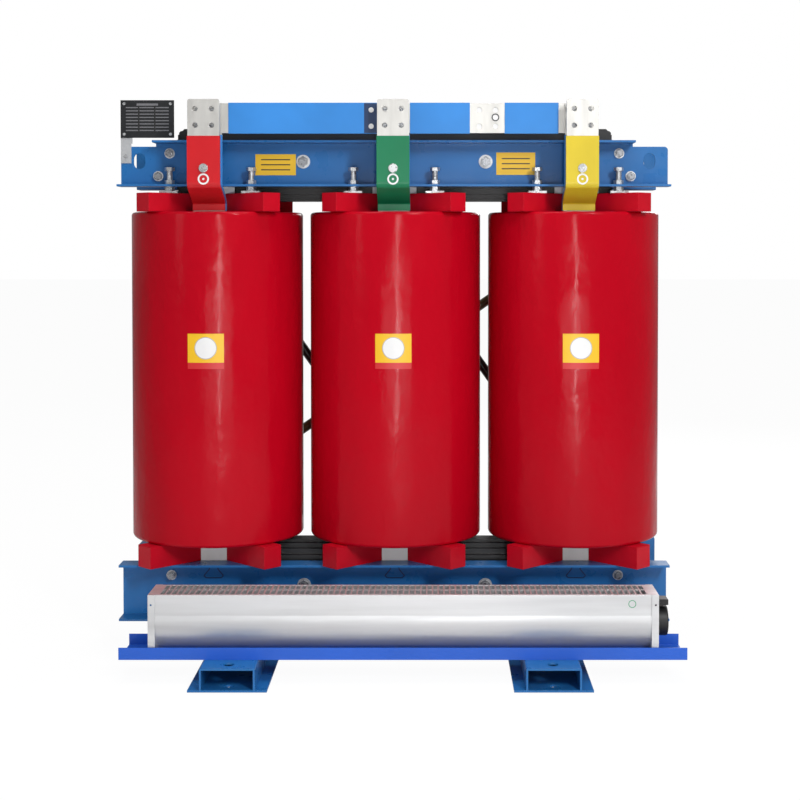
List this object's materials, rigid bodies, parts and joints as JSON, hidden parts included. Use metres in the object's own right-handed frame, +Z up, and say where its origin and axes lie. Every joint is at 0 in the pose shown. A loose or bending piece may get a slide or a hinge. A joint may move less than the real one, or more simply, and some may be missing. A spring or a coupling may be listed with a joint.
{
  "type": "cast-resin dry-type transformer",
  "caption": "Three-phase cast-resin dry-type transformer with coloured low-voltage busbars and a cross-flow cooling fan on its feet.",
  "frame": {"origin": "on the floor below the middle coil's axis, at the centre of the feet", "axes": "+X along the row of coils, -Y the low-voltage side with the busbars and the fan, +Y the high-voltage side, +Z up"},
  "size_m": [1.514, 1.07, 1.52],
  "materials": {
    "core_steel": "satin varnish over laminations",
    "cast_resin": "gloss",
    "lv_resin": "satin",
    "blue_paint": "semi-gloss",
    "pad_red": "satin",
    "white_board": "matt",
    "rubber": "matt",
    "tinned_copper": "matt tin",
    "sleeve_red": "satin shrunk sleeve",
    "sleeve_green": "satin shrunk sleeve",
    "sleeve_yellow": "satin shrunk sleeve",
    "sleeve_blue": "satin shrunk sleeve",
    "insulator_resin": "satin",
    "link_black": "satin",
    "link_olive": "satin",
    "brass": "plain",
    "tray_blue": "semi-gloss",
    "aluminium": "satin",
    "black_plastic": "satin",
    "lead_insulation": "satin",
    "black_plate": "satin",
    "grey_plate": "satin",
    "zinc": "bright zinc"
  },
  "bodies": {
    "transformer": {"bottom_yoke": "core_steel", "busbar_insulators": "insulator_resin", "busbar_studs": "zinc", "clamp_bolts": "zinc", "clamp_feet": "blue_paint", "clamp_washers": "zinc", "core_leg_a": "core_steel", "core_leg_b": "core_steel", "core_leg_c": "core_steel", "damping_pads": "rubber", "delta_link_ac": "link_olive", "delta_link_ba": "link_black", "delta_link_cb": "link_black", "fan_capacitor": "black_plastic", "fan_casing": "aluminium", "fan_end_plate_left": "aluminium", "fan_end_plate_right": "aluminium", "fan_grille": "aluminium", "fan_leads": "lead_insulation", "fan_motor": "black_plastic", "fan_tray": "tray_blue", "foot_bolts": "zinc", "hv_coil_a": "cast_resin", "hv_coil_b": "cast_resin", "hv_coil_c": "cast_resin", "hv_terminals": "brass", "lower_clamp_front": "blue_paint", "lower_clamp_rear": "blue_paint", "lower_pads": "pad_red", "lv_winding_a": "lv_resin", "lv_winding_b": "lv_resin", "lv_winding_c": "lv_resin", "nameplate": "black_plate", "nameplate_bracket": "grey_plate", "nameplate_screws": "zinc", "neutral_bar": "tinned_copper", "neutral_joint_bolts": "zinc", "neutral_risers": "tinned_copper", "neutral_sleeves": "sleeve_blue", "pad_strips": "white_board", "phase_bar_a": "tinned_copper", "phase_bar_b": "tinned_copper", "phase_bar_c": "tinned_copper", "phase_sleeve_a": "sleeve_yellow", "phase_sleeve_b": "sleeve_green", "phase_sleeve_c": "sleeve_red", "pressure_bolts": "zinc", "pressure_nuts": "zinc", "pressure_plates": "zinc", "pull_plates": "blue_paint", "skid_left": "blue_paint", "skid_right": "blue_paint", "tap_links": "brass", "tap_studs": "brass", "top_yoke": "core_steel", "upper_clamp_front": "blue_paint", "upper_clamp_rear": "blue_paint", "upper_pads": "pad_red", "yoke_boards": "white_board"},
    "impeller": {"fan_rotor": "aluminium"}
  },
  "joints": [
    {"name": "fan_spin", "type": "hinge", "parent": "transformer", "child": "impeller", "pos_m": [0.0305, -0.389, 0.146], "axis": [1, 0, 0], "continuous": true}
  ]
}
